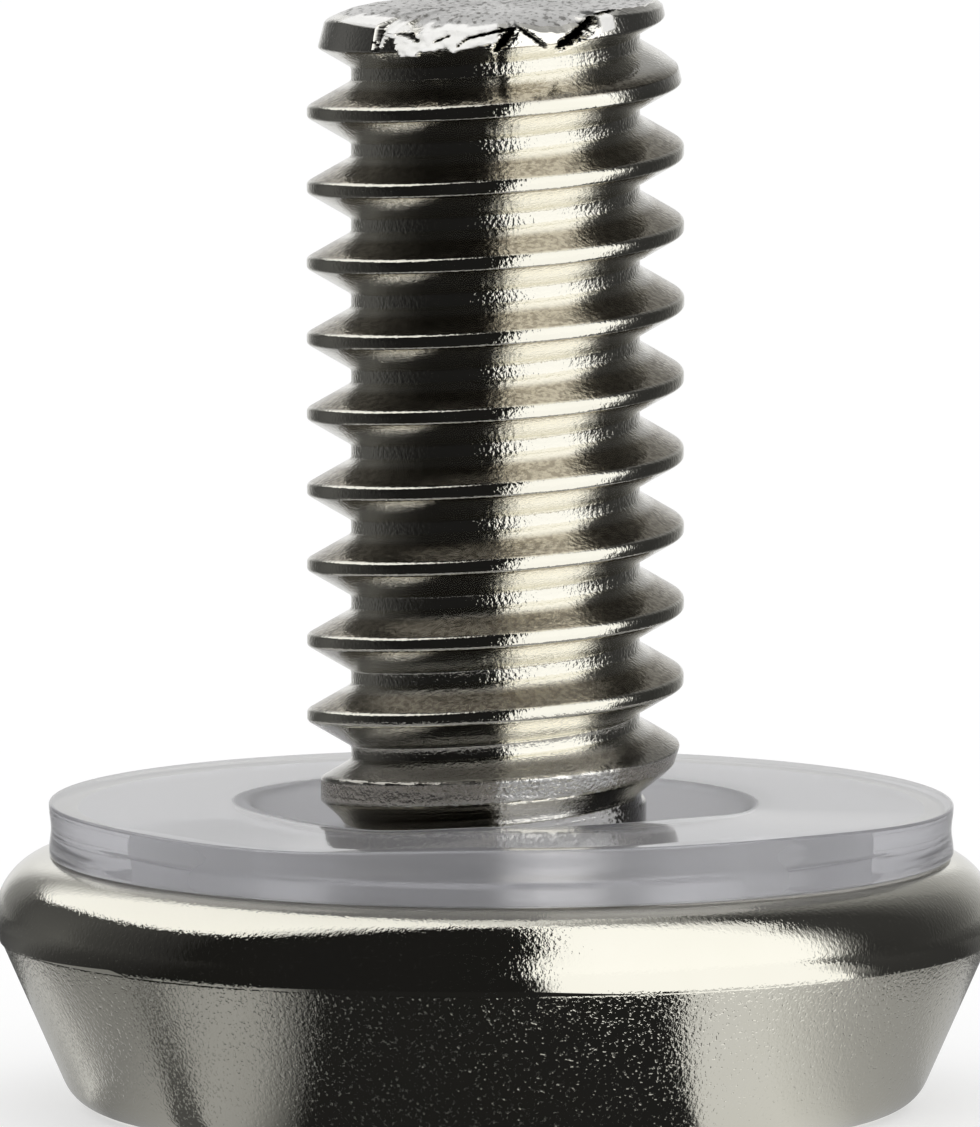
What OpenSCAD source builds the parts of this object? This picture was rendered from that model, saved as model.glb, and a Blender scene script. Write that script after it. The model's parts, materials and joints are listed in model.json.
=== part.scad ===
// Rack screw that stands on its head, tip up, with a loose plastic washer on the head's seat.
// Millimetres. The origin is the centre of the drive face, and +Z runs along the screw to its tip.

/* [Head] */
// Diameter of the head at the widest line of its rim
head_d = 14; // [12.6:0.1:16]
// Height of the head, from the drive face to the seat under the washer
head_h = 3.55; // [3:0.05:5]
// Height of the rim, from the ridge above the cone to the seat
rim_h = 1.2; // [0.95:0.05:1.6]
// How far the rim draws in at the ridge, below its widest line
rim_draw = 0.06; // [0.02:0.01:0.2]
// Rounding of the rim's upper edge
rim_round = 0.9; // [0.2:0.05:1.1]
// Slope of the cone between the ridge and the drive face, from the axis, in degrees
cone_angle = 24; // [10:1:35]
// Rounding between the cone and the drive face
face_round = 0.63; // [0.2:0.01:0.8]

/* [Cross recess] */
// Span of the cross at the drive face, from wing tip to wing tip
recess_d = 6.3; // [5:0.1:8]
// Span of the cross at the foot of its wings
recess_foot_d = 3; // [2.6:0.1:4.5]
// Width of one wing
wing_w = 1.1; // [0.8:0.05:1.4]
// Diameter of the round core between the wings, at the drive face
core_d = 3; // [2.6:0.1:3.4]
// Diameter of the round core at the foot of the wings
core_foot_d = 2; // [1.6:0.1:2.4]
// Depth of the wings
recess_depth = 2.4; // [1.5:0.1:2.7]

/* [Shank and thread] */
// Length under the head, from the seat to the tip
shank_len = 12; // [8:0.05:25]
// Outside diameter of the thread
thread_d = 5.28; // [4.8:0.02:5.6]
// Distance from one crest to the next
pitch = 1.0583; // [0.8:0.0001:1.3]
// Width of the flat on a crest
crest_w = 0.155; // [0.1:0.005:0.25]
// Width of the flat at a root
root_w = 0.23; // [0.1:0.005:0.25]
// Size of the slope that eases the corner between a root and a flank
root_round = 0.06; // [0.02:0.005:0.1]
// Height above the seat where the groove starts to fade out
thread_gap = 0.88; // [0.8:0.01:2]
// Height above the seat where the crests reach the full diameter
crest_gap = 1.7; // [1.2:0.05:3]
// Diameter of the neck between the thread and the seat
neck_d = 4.5; // [4.4:0.02:5.2]
// Rounding between the neck and the seat
neck_round = 0.45; // [0.1:0.05:0.55]

/* [Tip] */
// Length of the taper that leads the thread in
lead_len = 1.2; // [0.5:0.05:1.5]
// How far the lead-in taper draws the outside in, on the radius
lead_draw = 0.28; // [0.05:0.01:0.3]
// Height of the bevel around the end face
end_bevel = 0.16; // [0.05:0.01:0.4]
// Diameter of the end face
end_d = 4.4; // [3.6:0.05:4.6]

/* [Washer] */
// Outside diameter of the washer
washer_d = 12.65; // [11:0.05:15]
// Diameter of the washer's hole
washer_hole_d = 6.9; // [6.2:0.05:9]
// Thickness of the washer
washer_t = 0.8; // [0.5:0.05:1.6]
// Rounding of the washer's edges
washer_round = 0.15; // [0.05:0.01:0.24]
// How far the loose washer lies off the screw's axis
washer_shift = 0.08; // [0:0.01:0.2]

/* [Hidden] */

$fn = 96;
// Angle between the two flanks of the groove
thread_angle = 60;
// Straight steps in one turn of the groove
turn_steps = 32;
// Turns over which the groove fades out above the neck
fade_turns = 0.6;
// Straight steps in a rounded edge
round_steps = 8;
// Cutters reach this far past the faces that they cut
past = 0.1;
// The drill point under the recess slopes this much from the axis
core_point_angle = 59;

head_r = head_d / 2;
ridge_r = head_r - rim_draw;
ridge_z = head_h - rim_h;
thread_r = thread_d / 2;
neck_r = neck_d / 2;
end_r = end_d / 2;
tip_z = head_h + shank_len;
flank_slope = tan(thread_angle / 2);
groove_depth = (pitch - crest_w - root_w) / 2 / flank_slope;
// The groove's cutter stands proud of the crest by an amount that keeps its turns apart
groove_proud = crest_w / 4 / flank_slope;
groove_start_z = head_h + thread_gap;
groove_turns = (tip_z - groove_start_z) / pitch + 1;

function arc(x, y, r, from, to) = [
    for (i = [0 : round_steps])
        let (a = from + (to - from) * i / round_steps)
            [x + r * cos(a), y + r * sin(a)]
];

// The rounded corner between the drive face and the cone
function face_corner() =
    let (
        cone_offset = ridge_r * cos(cone_angle) - ridge_z * sin(cone_angle),
        x = (cone_offset - face_round * (1 - sin(cone_angle))) / cos(cone_angle)
    )
    arc(x, face_round, face_round, -90, -cone_angle);

// The rim's slow curve from the ridge up to its widest line
function rim_curve() =
    let (
        rise = rim_h - rim_round,
        r = (rise * rise + rim_draw * rim_draw) / 2 / rim_draw
    )
    arc(head_r - r, head_h - rim_round, r, -asin(rise / r), 0);

// Half of the screw's outline, from the drive face to the tip
module screw_outline() {
    polygon(concat(
        [[0, 0]],
        face_corner(),
        rim_curve(),
        arc(head_r - rim_round, head_h - rim_round, rim_round, 0, 90),
        arc(neck_r + neck_round, head_h + neck_round, neck_round, 270, 180),
        [
            [thread_r, head_h + crest_gap],
            [thread_r, tip_z - lead_len],
            [thread_r - lead_draw, tip_z - end_bevel],
            [end_r, tip_z],
            [0, tip_z]
        ]
    ));
}

// Corners of the groove's cutter where it has turned by some turns, as seen on a cut through the axis
function groove_ring(turns) =
    let (
        fade = min(max(-turns / fade_turns, 0), 1),
        lift = fade * (groove_depth + groove_proud),
        mid_z = groove_start_z + turns * pitch,
        half_root = root_w / 2,
        half_mouth = half_root + (groove_depth + groove_proud) * flank_slope,
        root_r = thread_r - groove_depth + lift,
        mouth_r = thread_r + groove_proud + lift,
        cut = min(root_round, root_w / 3),
        flank_r = root_r + cut * cos(thread_angle / 2),
        half_flank = half_root + cut * sin(thread_angle / 2),
        corners = [
            [root_r, cut - half_root],
            [flank_r, -half_flank],
            [mouth_r, -half_mouth],
            [mouth_r, half_mouth],
            [flank_r, half_flank],
            [root_r, half_root - cut]
        ]
    )
    [for (c = corners) [c[0] * cos(360 * turns), c[0] * sin(360 * turns), mid_z + c[1]]];

// The helical groove between the crests, which fades out above the neck
module thread_groove() {
    corner_count = 6;
    ring_count = ceil((groove_turns + fade_turns) * turn_steps);
    rings = [for (i = [0 : ring_count]) groove_ring(i / turn_steps - fade_turns)];
    last = ring_count * corner_count;
    sides = [
        for (i = [0 : ring_count - 1], c = [0 : corner_count - 1])
            let (
                a = i * corner_count + c,
                b = i * corner_count + (c + 1) % corner_count
            )
            each [
                [a, b, b + corner_count],
                [a, b + corner_count, a + corner_count]
            ]
    ];
    ends = [
        [for (c = [corner_count - 1 : -1 : 0]) c],
        [for (c = [0 : corner_count - 1]) last + c]
    ];
    polyhedron([for (ring = rings) each ring], concat(sides, ends), convexity = 20);
}

// One wing of the cross recess, tapering from the drive face to its foot
module recess_wing() {
    flare = (recess_d - recess_foot_d) / 2 / recess_depth * past;
    mouth = recess_d / 2 + flare;
    foot = recess_foot_d / 2;
    rotate([90, 0, 0])
        linear_extrude(wing_w, center = true)
            polygon([[-mouth, -past], [mouth, -past], [foot, recess_depth], [-foot, recess_depth]]);
}

module cross_recess() {
    recess_wing();
    rotate(90)
        recess_wing();
    core_flare = (core_d - core_foot_d) / recess_depth * past;
    translate([0, 0, -past])
        cylinder(h = recess_depth + past, d1 = core_d + core_flare, d2 = core_foot_d);
    translate([0, 0, recess_depth])
        cylinder(h = core_foot_d / 2 / tan(core_point_angle), d1 = core_foot_d, d2 = 0);
}

// Plated steel: head, neck, thread and tip in one piece
module screw() {
    color([0.76, 0.73, 0.66])
        difference() {
            rotate_extrude()
                screw_outline();
            thread_groove();
            cross_recess();
        }
}

// Translucent plastic ring that lies on the head's seat
module washer() {
    inner = washer_hole_d / 2 + washer_round;
    outer = washer_d / 2 - washer_round;
    low = washer_round;
    high = washer_t - washer_round;
    color([0.82, 0.82, 0.84, 0.7])
        translate([washer_shift, 0, head_h])
            rotate_extrude()
                polygon(concat(
                    arc(outer, low, washer_round, -90, 0),
                    arc(outer, high, washer_round, 0, 90),
                    arc(inner, high, washer_round, 90, 180),
                    arc(inner, low, washer_round, 180, 270)
                ));
}

screw();
washer();
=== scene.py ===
"""Looks of a rack screw that stands on its head, with a loose plastic washer on the head's seat.

Sizes are in millimetres in the screw's own frame: the axis is Z and the drive face is at zero. A mesh
turns into metres when it is made. Angles around the axis are in degrees from the front, which faces
the camera, and they grow towards +X.
"""

import json
import logging
import math
from collections.abc import Sequence
from dataclasses import dataclass, field
from enum import Enum

import bmesh
import bpy
import numpy as np
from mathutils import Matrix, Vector, geometry, noise

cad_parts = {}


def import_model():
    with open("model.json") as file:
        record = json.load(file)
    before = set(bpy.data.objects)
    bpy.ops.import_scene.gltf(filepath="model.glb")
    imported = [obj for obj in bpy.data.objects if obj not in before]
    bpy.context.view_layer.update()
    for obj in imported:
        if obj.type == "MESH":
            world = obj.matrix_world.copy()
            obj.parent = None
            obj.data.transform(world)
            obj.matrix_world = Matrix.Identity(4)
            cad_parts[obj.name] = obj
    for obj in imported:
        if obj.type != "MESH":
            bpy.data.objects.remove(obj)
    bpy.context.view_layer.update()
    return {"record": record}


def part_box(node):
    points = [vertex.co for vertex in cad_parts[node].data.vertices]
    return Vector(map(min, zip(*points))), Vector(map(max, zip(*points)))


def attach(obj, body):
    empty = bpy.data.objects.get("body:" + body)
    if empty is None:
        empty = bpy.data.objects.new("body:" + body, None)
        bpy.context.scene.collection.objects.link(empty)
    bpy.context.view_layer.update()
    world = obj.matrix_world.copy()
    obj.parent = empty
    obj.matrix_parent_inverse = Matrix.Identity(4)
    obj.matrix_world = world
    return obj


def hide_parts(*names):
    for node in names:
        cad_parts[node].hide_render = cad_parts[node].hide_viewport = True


MM = 0.001
BODY = "root"
PHOTO_WIDTH_PX = 980
PHOTO_HEIGHT_PX = 1127
SHARP_ANGLE = 35.0
MERGE_DISTANCE = 0.0015
FLOOR_CARD_Z = 0.02
SEAT_GAP = 0.004
GLOW = "glow"
TORN = "torn"

log = logging.getLogger("rack_screw")

Colour = tuple[float, float, float, float]
Stop = tuple[float, float, float]
Pair = tuple[float, float]


class Node(Enum):
    """Solids of the frame that the visible pieces stand for."""

    SCREW = "screw"
    WASHER = "washer"


class Slot(Enum):
    """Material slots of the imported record."""

    NICKEL_PLATE = "nickel_plate"
    CLEAR_PLASTIC = "clear_plastic"


class Lie(Enum):
    """How a studio card is held: around the object on a dome, or flat on the floor."""

    DOME = "dome"
    FLOOR = "floor"


def ease(x: np.ndarray, start: float, end: float) -> np.ndarray:
    """Rises smoothly from 0 at start to 1 at end.

    Args:
        x: Places to evaluate.
        start: Where the rise starts.
        end: Where the rise ends.

    Returns:
        Values from 0 to 1.
    """
    t = np.clip((x - start) / (end - start), 0.0, 1.0)
    return t * t * (3.0 - 2.0 * t)


def glide(x: np.ndarray, stops: Sequence[Sequence[float]]) -> np.ndarray:
    """Runs smoothly through some stops.

    Args:
        x: Places to evaluate.
        stops: Pairs of a place and the value there.

    Returns:
        Values.
    """
    total = np.full_like(x, stops[0][1])
    for (start, low), (end, high) in zip(stops, stops[1:]):
        total = total + (high - low) * ease(x, start, end)
    return total


def round_low(a: np.ndarray, b: np.ndarray, width: float) -> np.ndarray:
    """Takes the lower of two surfaces and rounds the corner where they cross.

    Args:
        a: Heights of the first surface.
        b: Heights of the second surface.
        width: Difference of height within which the corner is rounded.

    Returns:
        Heights of the joined surface.
    """
    near = np.maximum(width - np.abs(a - b), 0.0) / width
    return np.minimum(a, b) - near * near * width / 4.0


def ripple(points: np.ndarray) -> np.ndarray:
    """Reads smooth repeatable noise at many points.

    Args:
        points: Points, three numbers each.

    Returns:
        One value from about -1 to 1 for each point.
    """
    flat = points.reshape(-1, 3)
    values = [noise.noise(Vector(p)) for p in flat]
    return np.array(values).reshape(points.shape[:-1])


def arc(centre_r: float, centre_z: float, radius: float, start: float, end: float, steps: int) -> np.ndarray:
    """Places points along an arc of an outline.

    Args:
        centre_r: Distance of the arc's centre from the axis.
        centre_z: Height of the arc's centre.
        radius: Radius of the arc.
        start: First angle, in degrees from the outward direction.
        end: Last angle.
        steps: Number of straight steps.

    Returns:
        Rows of radius and height.
    """
    angle = np.radians(np.linspace(start, end, steps + 1))
    return np.column_stack([centre_r + radius * np.cos(angle), centre_z + radius * np.sin(angle)])


def around(radius: np.ndarray, angle: np.ndarray, height: np.ndarray) -> np.ndarray:
    """Turns distances, angles and heights into points.

    Args:
        radius: Distances from the axis.
        angle: Angles from the front, in degrees.
        height: Heights above the drive face.

    Returns:
        Points, with the last axis holding x, y and z.
    """
    turn = np.radians(angle)
    parts = np.broadcast_arrays(radius * np.sin(turn), -radius * np.cos(turn), height)
    return np.stack(parts, axis=-1)


@dataclass
class Skin:
    """Points and faces of one piece, in millimetres."""

    points: list[np.ndarray] = field(default_factory=list)
    faces: list[tuple[int, ...]] = field(default_factory=list)

    def add_points(self, points: np.ndarray) -> int:
        """Adds points and returns the number of the first one."""
        first = len(self.points)
        self.points.extend(points.reshape(-1, 3))
        return first

    def add_grid(self, grid: np.ndarray) -> None:
        """Adds a sheet of quads whose front faces away from the axis when its rows go up.

        Args:
            grid: Points by row, column and axis.
        """
        rows, columns = grid.shape[:2]
        first = self.add_points(grid)
        for row in range(rows - 1):
            for column in range(columns - 1):
                corner = first + row * columns + column
                self.faces.append((corner, corner + 1, corner + columns + 1, corner + columns))

    def add_triangles(self, points: np.ndarray, triangles: Sequence[Sequence[int]]) -> None:
        """Adds points with the triangles between them.

        Args:
            points: Corners of the triangles.
            triangles: Numbers of the corners, three for each triangle.
        """
        first = self.add_points(points)
        self.faces.extend(tuple(first + corner for corner in triangle) for triangle in triangles)

    def to_object(self, name: str) -> bpy.types.Object:
        """Welds the points, shades the skin and links it to the scene.

        Args:
            name: Name of the new object.

        Returns:
            The object, in metres.
        """
        mesh = bpy.data.meshes.new(name)
        mesh.from_pydata([tuple(p) for p in self.points], [], self.faces)
        work = bmesh.new()
        work.from_mesh(mesh)
        bmesh.ops.remove_doubles(work, verts=work.verts, dist=MERGE_DISTANCE)
        bmesh.ops.dissolve_degenerate(work, edges=work.edges, dist=MERGE_DISTANCE / 10.0)
        bmesh.ops.recalc_face_normals(work, faces=work.faces)
        bmesh.ops.scale(work, verts=work.verts, vec=(MM, MM, MM))
        work.to_mesh(mesh)
        work.free()
        mesh.shade_smooth()
        mesh.set_sharp_from_angle(angle=math.radians(SHARP_ANGLE))
        piece = bpy.data.objects.new(name, mesh)
        bpy.context.scene.collection.objects.link(piece)
        return piece


class Graph:
    """Adds nodes to one shader tree and links them."""

    def __init__(self, tree: bpy.types.NodeTree) -> None:
        """Keeps the tree that the nodes go into."""
        self.tree = tree

    def add(self, kind: str, inputs: dict | None = None, **settings: object) -> bpy.types.Node:
        """Adds one node.

        Args:
            kind: Type name of the node.
            inputs: Values or linked sockets by the name or number of the input.
            settings: Other properties of the node.

        Returns:
            The new node.
        """
        node = self.tree.nodes.new(kind)
        for name, value in settings.items():
            setattr(node, name, value)
        for key, value in (inputs or {}).items():
            if isinstance(value, bpy.types.NodeSocket):
                self.tree.links.new(value, node.inputs[key])
            else:
                node.inputs[key].default_value = value
        return node

    def math(self, operation: str, *values: object) -> bpy.types.NodeSocket:
        """Adds a Math node.

        Args:
            operation: Name of the operation.
            values: Numbers or sockets, in order.

        Returns:
            The node's result.
        """
        return self.add("ShaderNodeMath", dict(enumerate(values)), operation=operation).outputs[0]

    def chain(self, operation: str, *values: object) -> bpy.types.NodeSocket:
        """Applies an operation to several values in turn.

        Args:
            operation: Name of the operation.
            values: Numbers or sockets, in order.

        Returns:
            The last result.
        """
        made = values[0]
        for value in values[1:]:
            made = self.math(operation, made, value)
        return made

    def weighted(self, start: object, *terms: tuple[object, object]) -> bpy.types.NodeSocket:
        """Adds several values, each times its weight, to a start.

        Args:
            start: Number or socket that the sum starts from.
            terms: Pairs of a value and its weight.

        Returns:
            The sum.
        """
        total = start
        for value, weight in terms:
            total = self.math("ADD", total, self.math("MULTIPLY", value, weight))
        return total

    def range(
        self, value: object, low: float, high: float, to_low: float = 0.0, to_high: float = 1.0
    ) -> bpy.types.NodeSocket:
        """Maps a value smoothly from one range to another.

        Args:
            value: Socket to map.
            low: Value that becomes to_low.
            high: Value that becomes to_high.
            to_low: Result at the low end.
            to_high: Result at the high end.

        Returns:
            The mapped value.
        """
        inputs = {0: value, 1: low, 2: high, 3: to_low, 4: to_high}
        node = self.add("ShaderNodeMapRange", inputs, interpolation_type="SMOOTHSTEP")
        return node.outputs[0]

    def tint(self, share: object, first: object, second: object) -> bpy.types.NodeSocket:
        """Mixes two colours.

        Args:
            share: Share of the second colour.
            first: Colour at share 0.
            second: Colour at share 1.

        Returns:
            The mixed colour.
        """
        node = self.add("ShaderNodeMix", data_type="RGBA")
        for number, value in ((0, share), (6, first), (7, second)):
            if isinstance(value, bpy.types.NodeSocket):
                self.tree.links.new(value, node.inputs[number])
            else:
                node.inputs[number].default_value = value
        return node.outputs[2]


class Place:
    """Where a finish is on its piece: the place, how far out it lies, and how far it faces up."""

    def __init__(self, graph: Graph) -> None:
        """Reads the place in the piece's own frame and the way the surface faces there."""
        self.graph = graph
        self.vector = graph.add("ShaderNodeTexCoord").outputs["Object"]
        self.x, self.y, self.z = graph.add("ShaderNodeSeparateXYZ", {0: self.vector}).outputs
        level = {0: self.vector, 1: (1.0, 1.0, 0.0)}
        flat = graph.add("ShaderNodeVectorMath", level, operation="MULTIPLY").outputs[0]
        self.out = graph.add("ShaderNodeVectorMath", {0: flat}, operation="LENGTH").outputs["Value"]
        facing = graph.add("ShaderNodeNewGeometry").outputs["Normal"]
        self.up = graph.add("ShaderNodeSeparateXYZ", {0: facing}).outputs[2]

    def rise(
        self, value: object, start: float, end: float, low: float = 0.0, high: float = 1.0
    ) -> bpy.types.NodeSocket:
        """Goes from low to high as a length goes from start to end, in millimetres."""
        return self.graph.range(value, start * MM, end * MM, low, high)


def blank_material(name: str) -> tuple[bpy.types.Material, Graph]:
    """Makes a material without nodes.

    Args:
        name: Name of the material.

    Returns:
        The material and the graph of its nodes.
    """
    made = bpy.data.materials.new(name)
    made.use_nodes = True
    made.node_tree.nodes.clear()
    return made, Graph(made.node_tree)


def surface_grain() -> bpy.types.NodeTree:
    """Builds the grain that both finishes share: a fine skin, slow clouds and small specks.

    Returns:
        A node group with a Vector and a Scale, and with Height, Cloud and Speck.
    """
    group = bpy.data.node_groups.new("surface_grain", "ShaderNodeTree")
    group.interface.new_socket("Vector", in_out="INPUT", socket_type="NodeSocketVector")
    group.interface.new_socket("Scale", in_out="INPUT", socket_type="NodeSocketFloat")
    for name in ("Height", "Cloud", "Speck"):
        group.interface.new_socket(name, in_out="OUTPUT", socket_type="NodeSocketFloat")
    graph = Graph(group)
    entry = graph.add("NodeGroupInput")
    place, scale = entry.outputs["Vector"], entry.outputs["Scale"]
    fine = {"Vector": place, "Scale": scale, "Detail": 2.0, "Roughness": 0.5}
    skin = graph.add("ShaderNodeTexNoise", fine)
    cloud_scale = graph.math("MULTIPLY", scale, 0.03)
    slow = {"Vector": place, "Scale": cloud_scale, "Detail": 3.0, "Roughness": 0.6}
    cloud = graph.add("ShaderNodeTexNoise", slow)
    speck_scale = graph.math("MULTIPLY", scale, 1.1)
    spots = graph.add("ShaderNodeTexNoise", {"Vector": place, "Scale": speck_scale, "Detail": 1.0})
    speck = graph.range(spots.outputs[0], 0.58, 0.76, 0.0, 1.0)
    leave = {"Height": skin.outputs[0], "Cloud": cloud.outputs[0], "Speck": speck}
    graph.add("NodeGroupOutput", leave)
    return group


@dataclass(frozen=True)
class PlateMasks:
    """Sockets that are 1 on one region of the plated screw and fade to 0 beside it."""

    flank: bpy.types.NodeSocket
    upper: bpy.types.NodeSocket
    end: bpy.types.NodeSocket
    neck: bpy.types.NodeSocket
    band: bpy.types.NodeSocket
    # Where painted shade reaches up from the neck into the lowest groove.
    last_groove_shade: bpy.types.NodeSocket
    # The lit window on the front of the neck gets a painted highlight; the rest of the front gets painted
    # shade.
    lit: bpy.types.NodeSocket
    unlit: bpy.types.NodeSocket
    # Neck right of the lit window, painted nearly black as shade.
    right: bpy.types.NodeSocket
    pits: bpy.types.NodeSocket
    torn: bpy.types.NodeSocket
    # Cracks in the torn crest, painted near black as shade.
    crack_shade: bpy.types.NodeSocket


@dataclass(frozen=True)
class NickelPlate:
    """Bright nickel over steel, with a fine orange-peel skin and flow lines along the thread.

    A pair of lengths is where a mask starts and ends. Some colours paint light and shade into the plate:
    shade on up-facing flanks, the neck, the last groove and the cracks, and a highlight in a window on the
    front of the neck.
    """

    bright: Colour = (0.82, 0.80, 0.72, 1.0)
    dull: Colour = (0.75, 0.73, 0.63, 1.0)
    flank: Colour = (0.92, 0.9, 0.83, 1.0)
    # Up-facing flanks, painted darker as shade and blotched with a still darker tone.
    upper_flank_shade: Colour = (0.52, 0.48, 0.39, 1.0)
    bare: Colour = (0.88, 0.87, 0.85, 1.0)
    stained: Colour = (0.3, 0.29, 0.27, 1.0)
    # Pale bare metal of the torn crest, and also a painted highlight in the lit window.
    fresh_metal_and_highlight: Colour = (0.98, 0.97, 0.94, 1.0)
    # Painted shade on the neck and the last groove, in place of a dark reflection.
    shaded: Colour = (0.2, 0.19, 0.165, 1.0)
    # Still darker blotches in the painted shade of the up-facing flanks.
    mottled_shade: Colour = (0.33, 0.295, 0.235, 1.0)
    # Near black painted into the cracks as the shade inside them.
    crack_shade: Colour = (0.02, 0.019, 0.017, 1.0)
    # Nearly black painted shade on the neck right of the lit window.
    right_painted_shade: Colour = (0.03, 0.028, 0.025, 1.0)
    # The rough run-out band outside the lit window, darker as painted shade.
    run_out_in_shade: Colour = (0.5, 0.47, 0.42, 1.0)
    last_shade: float = 0.6
    roughness: float = 0.02
    cloud_roughness: float = 0.02
    flank_roughness: float = 0.03
    upper_roughness: float = 0.06
    band_roughness: float = 0.16
    bare_roughness: float = 0.3
    torn_roughness: float = 0.3
    speck_scatter: float = 0.1
    band_scatter: float = 0.08
    torn_scatter: float = 1.0
    face_scatter: float = 0.15
    rim_pits: float = 0.1
    peel_scale: float = 18000.0
    peel_height: float = 0.00001
    pit_depth: float = 0.000005
    rim_share: float = 0.35
    thread_share: float = 0.7
    root_share: float = 1.5
    band_share: float = 1.5
    line_turns: float = 3.0
    line_stretch: float = 300.0
    line_height: float = 0.0000025
    neck_lines: float = 5.0
    mottle_scale: float = 12000.0
    stain_stretch: Stop = (1.0, 0.5, 1.0)
    ridge_soft: float = 0.05
    head_spread: float = 1.3
    front: Pair = (-0.6, 0.4)
    lit_left: Pair = (-0.05, 0.2)
    lit_right: Pair = (1.5, 1.8)
    lit_ragged: float = 0.12

    def material(self, grain: bpy.types.NodeTree, screw: "Screw") -> bpy.types.Material:
        """Builds the material.

        Args:
            grain: Shared node group of the grain.
            screw: The screw whose thread, rim and end face the finish follows.

        Returns:
            The finished material.
        """
        made, graph = blank_material("nickel_plate")
        at = Place(graph)
        settings = {"Vector": at.vector, "Scale": self.peel_scale}
        peel = graph.add("ShaderNodeGroup", settings, node_tree=grain).outputs
        masks = self.masks(at, peel, screw)
        height = {"Height": self.relief(at, peel, masks, screw), "Strength": 1.0, "Distance": 1.0}
        shader = graph.add("ShaderNodeBsdfPrincipled", {
            "Base Color": self.colour(at, peel, masks),
            "Metallic": self.metallic(graph, peel, masks),
            "Roughness": self.rough(graph, peel, masks),
            "Normal": graph.add("ShaderNodeBump", height).outputs[0],
        })
        graph.add("ShaderNodeOutputMaterial", {"Surface": shader.outputs[0]})
        return made

    def masks(self, at: Place, peel: bpy.types.NodeOutputs, screw: "Screw") -> PlateMasks:
        """Finds the regions that look different from plain plate.

        Args:
            at: Where the finish is.
            peel: Results of the grain.
            screw: The screw.

        Returns:
            The masks.
        """
        graph, thread = at.graph, screw.thread
        flank, neck = self.flanks(at, thread), self.neck(at, thread)
        on_head = at.rise(at.out, thread.crest_r, thread.crest_r * self.head_spread)
        ridge = screw.head.ridge_z
        on_cone = at.rise(at.z, ridge, ridge + self.ridge_soft, 1.0, self.rim_pits)
        # A ragged window on the front of the neck that gets a painted highlight; beside it the front gets
        # painted shade.
        wander = graph.range(peel["Height"], 0.3, 0.7, -self.lit_ragged * MM, self.lit_ragged * MM)
        side = graph.math("ADD", at.x, wander)
        front = at.rise(at.y, *self.front, 1.0, 0.0)
        past_lit = at.rise(side, *self.lit_right)
        before = graph.math("SUBTRACT", 1.0, past_lit)
        lit = graph.chain("MULTIPLY", at.rise(side, *self.lit_left), before, front)
        # Painted shade in the last groove, fading out higher up.
        last = at.rise(at.z, thread.start_z + 0.5, thread.start_z + 1.0, self.last_shade, 0.0)
        marks = graph.add("ShaderNodeAttribute", attribute_name=TORN).outputs["Fac"]
        return PlateMasks(
            flank=flank,
            upper=graph.math("MULTIPLY", flank, self.upper_side(at, screw)),
            end=self.end_face(at, screw.tip),
            neck=neck,
            band=self.band(at, thread),
            last_groove_shade=graph.math("MULTIPLY", last, graph.math("SUBTRACT", 1.0, on_head)),
            lit=lit,
            unlit=graph.math("SUBTRACT", front, lit),
            # Painted shade on the neck right of the lit window.
            right=graph.chain("MULTIPLY", neck, past_lit, front),
            pits=graph.chain("MULTIPLY", on_cone, on_head, peel["Speck"]),
            torn=graph.range(marks, 0.0, 1.0),
            crack_shade=graph.range(marks, 0.0, -1.0),
        )

    def colour(self, at: Place, peel: bpy.types.NodeOutputs, masks: PlateMasks) -> bpy.types.NodeSocket:
        """Mixes the plate's colour from region to region, painting shade and a highlight into some of them.

        Args:
            at: Where the finish is.
            peel: Results of the grain.
            masks: Regions of the plate.

        Returns:
            The colour.
        """
        graph = at.graph
        dots = {"Vector": at.vector, "Scale": self.mottle_scale, "Detail": 4.0}
        blotch = graph.range(graph.add("ShaderNodeTexNoise", dots).outputs[0], 0.42, 0.62)
        stretch = {0: at.vector, 1: self.stain_stretch}
        drawn = graph.add("ShaderNodeVectorMath", stretch, operation="MULTIPLY")
        spots = {"Vector": drawn.outputs[0], "Scale": self.mottle_scale, "Detail": 3.0}
        stain = graph.range(graph.add("ShaderNodeTexNoise", spots).outputs[0], 0.5, 0.66)
        groove = graph.math("MAXIMUM", masks.neck, masks.last_groove_shade)
        low = graph.math("MAXIMUM", masks.band, masks.neck)
        layers = (
            (masks.flank, self.flank),
            # Painted shade: flanks that face up are darker, with darker blotches.
            (masks.upper, graph.tint(blotch, self.upper_flank_shade, self.mottled_shade)),
            (masks.end, graph.tint(stain, self.bare, self.stained)),
            # Painted shade: the neck and last groove are darkened outside the lit window.
            (graph.math("MULTIPLY", groove, masks.unlit), self.shaded),
            # Painted shade: the neck right of the lit window is nearly black.
            (masks.right, self.right_painted_shade),
            # Painted shade: the run-out band is darker outside the lit window.
            (graph.math("MULTIPLY", masks.band, masks.unlit), self.run_out_in_shade),
            # Painted highlight: the band and the neck turn near white inside the lit window.
            (graph.math("MULTIPLY", low, masks.lit), self.fresh_metal_and_highlight),
            (masks.torn, self.fresh_metal_and_highlight),
            # Painted shade: the cracks are near black.
            (masks.crack_shade, self.crack_shade),
        )
        colour = graph.tint(peel["Cloud"], self.bright, self.dull)
        for share, over in layers:
            colour = graph.tint(share, colour, over)
        return colour

    def metallic(self, graph: Graph, peel: bpy.types.NodeOutputs, masks: PlateMasks) -> bpy.types.NodeSocket:
        """Takes some of the mirror away where pits, tears and bare metal scatter the light.

        Args:
            graph: Graph of the material.
            peel: Results of the grain.
            masks: Regions of the plate.

        Returns:
            Share of metal.
        """
        grains = graph.range(peel["Height"], 0.4, 0.62, 0.1, 2.2)
        grainy = graph.math("MULTIPLY", masks.band, grains)
        return graph.weighted(
            1.0, (masks.pits, -self.speck_scatter), (grainy, -self.band_scatter),
            (masks.torn, -self.torn_scatter), (masks.end, -self.face_scatter),
        )

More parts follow.
